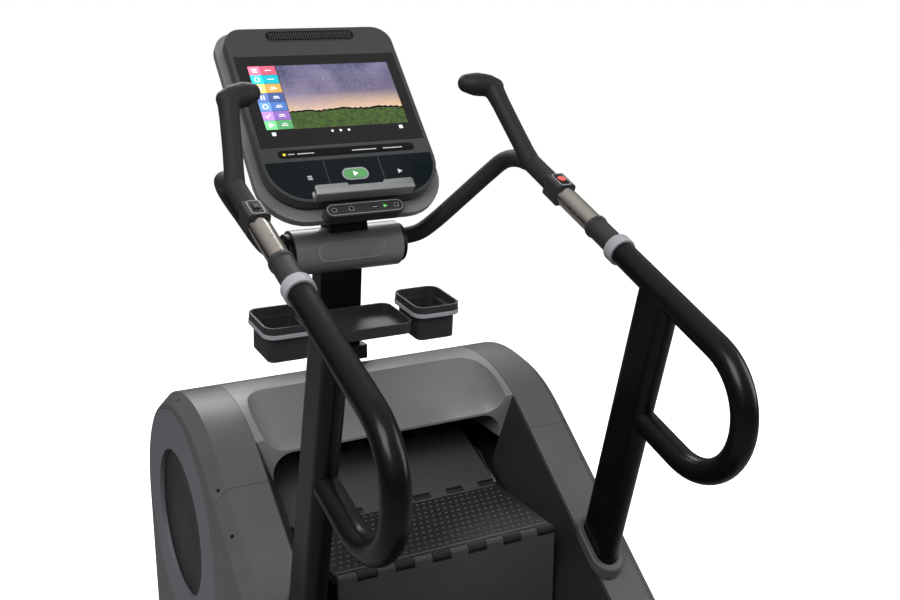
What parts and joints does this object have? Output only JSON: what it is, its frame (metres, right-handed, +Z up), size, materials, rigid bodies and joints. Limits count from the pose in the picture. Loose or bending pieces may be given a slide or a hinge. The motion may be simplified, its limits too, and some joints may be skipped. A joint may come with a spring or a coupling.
{
  "type": "stair climber",
  "caption": "Stair climbing machine with a chain-driven loop of hinged steps, covered side frames, looped handrails with raised front grips, a tilted console on a mast and storage bins.",
  "frame": {"origin": "middle of the machine on the floor", "axes": "+Y the way the user faces, +X to the user's right, +Z up"},
  "size_m": [0.86, 1.7714, 2.063],
  "materials": {
    "frame_steel": "satin",
    "drive_steel": "machined",
    "belt_rubber": "matte",
    "tread_plastic": "moulded, dimpled",
    "riser_plastic": "satin",
    "cover_plastic": "satin, fine grain",
    "disc_plastic": "satin",
    "hood_plastic": "satin, fine grain",
    "screw_steel": "black oxide",
    "rail_paint": "satin black powder coat",
    "collar_plastic": "satin",
    "sleeve_plastic": "satin",
    "contact_steel": "brushed stainless",
    "grip_rubber": "matte moulded rubber",
    "stop_red": "gloss",
    "neck_plastic": "satin",
    "shell_silver": "satin metallic",
    "bezel_grey": "satin",
    "screen_glass": "polished black glass",
    "keypad_film": "semi-gloss film",
    "start_green": "lit",
    "ledge_silver": "satin anodised",
    "bin_plastic": "matte, fine grain",
    "wheel_rubber": "matte"
  },
  "bodies": {
    "machine": {"base_frame": "frame_steel", "step_frames": "frame_steel", "shaft_bearings": "frame_steel", "drive_belt": "belt_rubber", "brake_housing": "frame_steel", "entry_step": "tread_plastic", "left_upper_cover": "cover_plastic", "right_upper_cover": "cover_plastic", "left_lower_cover": "cover_plastic", "right_lower_cover": "cover_plastic", "side_discs": "disc_plastic", "hood": "hood_plastic", "front_shroud": "cover_plastic", "inner_flanks": "cover_plastic", "cover_screws": "screw_steel", "left_handrail": "rail_paint", "right_handrail": "rail_paint", "handrail_boots": "cover_plastic", "rail_collars": "collar_plastic", "grip_sleeves": "sleeve_plastic", "pulse_contacts": "contact_steel", "left_grip": "grip_rubber", "right_grip": "grip_rubber", "switch_boxes": "sleeve_plastic", "mast": "rail_paint", "mast_boot": "sleeve_plastic", "neck_housing": "neck_plastic", "console_bracket": "rail_paint", "console_back": "shell_silver", "console_bezel": "bezel_grey", "screen_glass": "screen_glass", "keypad": "keypad_film", "device_ledge": "ledge_silver", "port_bar": "sleeve_plastic", "storage_bins": "bin_plastic", "bin_bands": "collar_plastic", "tray": "bin_plastic"},
    "front_run": {"front_treads": "tread_plastic", "front_risers": "riser_plastic", "hinge_pins": "drive_steel", "chain_front": "drive_steel"},
    "return_run": {"return_treads": "tread_plastic", "return_risers": "riser_plastic", "chain_return": "drive_steel"},
    "top_drive": {"top_shaft": "drive_steel", "top_sprockets": "drive_steel", "chain_top": "drive_steel", "drive_pulley": "drive_steel", "top_tread": "tread_plastic"},
    "bottom_idler": {"bottom_shaft": "drive_steel", "bottom_sprockets": "drive_steel", "chain_bottom": "drive_steel"},
    "top_riser": {"top_riser": "riser_plastic"},
    "flywheel": {"flywheel": "drive_steel"},
    "stop_button": {"stop_button": "stop_red"},
    "speed_rocker": {"speed_rocker": "sleeve_plastic"},
    "start_button": {"start_button": "start_green"},
    "fan_rotor": {"fan_rotor": "sleeve_plastic"},
    "transport_wheels": {"transport_wheels": "wheel_rubber"},
    "levelling_feet": {"levelling_feet": "wheel_rubber"}
  },
  "joints": [
    {"name": "stair_travel", "type": "slide", "parent": "machine", "child": "front_run", "axis": [0, -0.7763, -0.6304], "range_m": [0, 0.05]},
    {"name": "return_travel", "type": "slide", "parent": "machine", "child": "return_run", "axis": [0, 0.7763, 0.6304], "range_m": [0, 0.0505]},
    {"name": "top_shaft_spin", "type": "hinge", "parent": "machine", "child": "top_drive", "pos_m": [0, 0.41687, 0.96142], "axis": [1, 0, 0], "range_deg": [0, 28.05]},
    {"name": "bottom_shaft_spin", "type": "hinge", "parent": "machine", "child": "bottom_idler", "pos_m": [0, -0.33313, 0.35242], "axis": [1, 0, 0], "range_deg": [0, 28.05]},
    {"name": "riser_fold", "type": "hinge", "parent": "front_run", "child": "top_riser", "pos_m": [0, 0.35225, 1.041], "axis": [1, 0, 0], "range_deg": [0, 24.53]},
    {"name": "flywheel_spin", "type": "hinge", "parent": "machine", "child": "flywheel", "pos_m": [0, 0.65225, 0.427], "axis": [1, 0, 0], "range_deg": [0, 88.6]},
    {"name": "stop_press", "type": "slide", "parent": "machine", "child": "stop_button", "axis": [0, 0.3584, -0.9336], "range_m": [0, 0.003], "stiffness_N_per_m": 600, "springref_m": -0.002},
    {"name": "speed_tilt", "type": "hinge", "parent": "machine", "child": "speed_rocker", "pos_m": [-0.337, 0.23938, 1.76552], "axis": [1, 0, 0], "range_deg": [-12, 12], "stiffness_Nm_per_rad": 0.002},
    {"name": "start_press", "type": "slide", "parent": "machine", "child": "start_button", "axis": [0, 0.7431, -0.6691], "range_m": [0, 0.0015], "stiffness_N_per_m": 600, "springref_m": -0.001},
    {"name": "fan_spin", "type": "hinge", "parent": "machine", "child": "fan_rotor", "pos_m": [0, 0.8424, 1.9967], "axis": [1, 0, 0], "continuous": true},
    {"name": "wheel_spin", "type": "hinge", "parent": "machine", "child": "transport_wheels", "pos_m": [0, 0.86025, 0.029], "axis": [1, 0, 0], "continuous": true},
    {"name": "foot_adjust", "type": "slide", "parent": "machine", "child": "levelling_feet", "axis": [0, 0, -1], "range_m": [0, 0.012]}
  ],
  "couplings": [
    {"joint": "return_travel", "follows": "stair_travel", "ratio": 1},
    {"joint": "top_shaft_spin", "follows": "stair_travel", "rad_per_m": 9.7553},
    {"joint": "bottom_shaft_spin", "follows": "stair_travel", "rad_per_m": 9.7553},
    {"joint": "riser_fold", "follows": "stair_travel", "rad_per_m": 8.5277},
    {"joint": "flywheel_spin", "follows": "stair_travel", "rad_per_m": 30.892}
  ]
}
